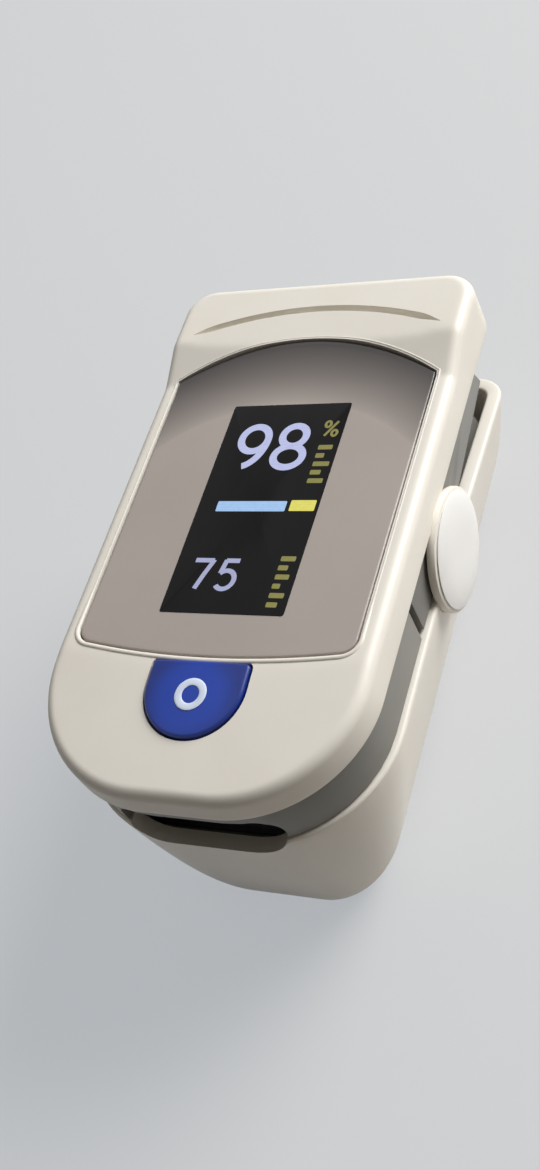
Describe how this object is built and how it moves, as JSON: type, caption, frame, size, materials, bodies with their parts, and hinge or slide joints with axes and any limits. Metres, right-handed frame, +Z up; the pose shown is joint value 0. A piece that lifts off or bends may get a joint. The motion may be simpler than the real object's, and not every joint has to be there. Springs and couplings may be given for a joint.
{
  "type": "fingertip pulse oximeter",
  "caption": "Fingertip pulse oximeter: sprung clip of an upper jaw with lit display and half-moon power button on a lower jaw with a finger bay and battery cover.",
  "frame": {"origin": "centre of the box's footprint, on the surface that the device lies on", "axes": "+X to the right seen from the finger end, +Y towards the squeeze end, +Z up out of the display"},
  "size_m": [0.0342, 0.058, 0.0304],
  "materials": {
    "shell_white": "satin moulded, slightly glossy",
    "cap_white": "satin moulded",
    "frame_grey": "fine matte texture",
    "pad_rubber": "soft matte",
    "foam": "closed-cell foam",
    "panel_grey": "satin back-printed lens",
    "screen_black": "gloss",
    "screen_module": "glass module",
    "board_green": "solder mask",
    "chip_black": "moulded",
    "switch_body": "moulded",
    "window_red": "clear red",
    "button_blue": "satin",
    "symbol_pale": "printed",
    "steel": "plated wire and plate",
    "flex_amber": "polyimide film",
    "cell_sleeve": "printed sleeve"
  },
  "bodies": {
    "lower_jaw": {"lower_shell": "shell_white", "hinge_cap_left": "cap_white", "hinge_cap_right": "cap_white", "hinge_pin_left": "steel", "hinge_pin_right": "steel", "torsion_spring_left": "steel", "torsion_spring_right": "steel", "lower_frame": "frame_grey", "lower_pad": "pad_rubber", "finger_stop": "pad_rubber", "detector_window": "window_red", "photodiode": "chip_black", "detector_board": "board_green", "flex_cable": "flex_amber", "battery_left": "cell_sleeve", "battery_right": "cell_sleeve", "contact_springs": "steel", "contact_plates": "steel", "lower_screws": "steel"},
    "upper_jaw": {"upper_shell": "shell_white", "display_panel": "panel_grey", "display_window": "screen_black", "display_gasket": "foam", "oled_module": "screen_module", "main_board": "board_green", "board_chips": "chip_black", "tact_switch": "switch_body", "upper_frame": "frame_grey", "hinge_bracket": "frame_grey", "upper_pad": "pad_rubber", "emitter_window": "window_red", "emitter_led": "switch_body", "emitter_board": "board_green", "upper_screws": "steel"},
    "button": {"power_button": "button_blue", "button_symbol": "symbol_pale", "switch_plunger": "chip_black"},
    "cover": {"battery_cover": "shell_white"}
  },
  "joints": [
    {"name": "clip_hinge", "type": "hinge", "parent": "lower_jaw", "child": "upper_jaw", "pos_m": [0, 0.0033, 0.0194], "axis": [-1, 0, 0], "range_deg": [0, 15], "stiffness_Nm_per_rad": 0.08, "springref_deg": -34.38, "deforming": ["torsion_spring_left", "torsion_spring_right", "flex_cable"]},
    {"name": "button_press", "type": "slide", "parent": "upper_jaw", "child": "button", "axis": [0, 0, -1], "range_m": [0, 0.0005], "stiffness_N_per_m": 400, "springref_m": -0.001},
    {"name": "cover_slide", "type": "slide", "parent": "lower_jaw", "child": "cover", "axis": [0, 1, 0], "range_m": [0, 0.009]}
  ]
}
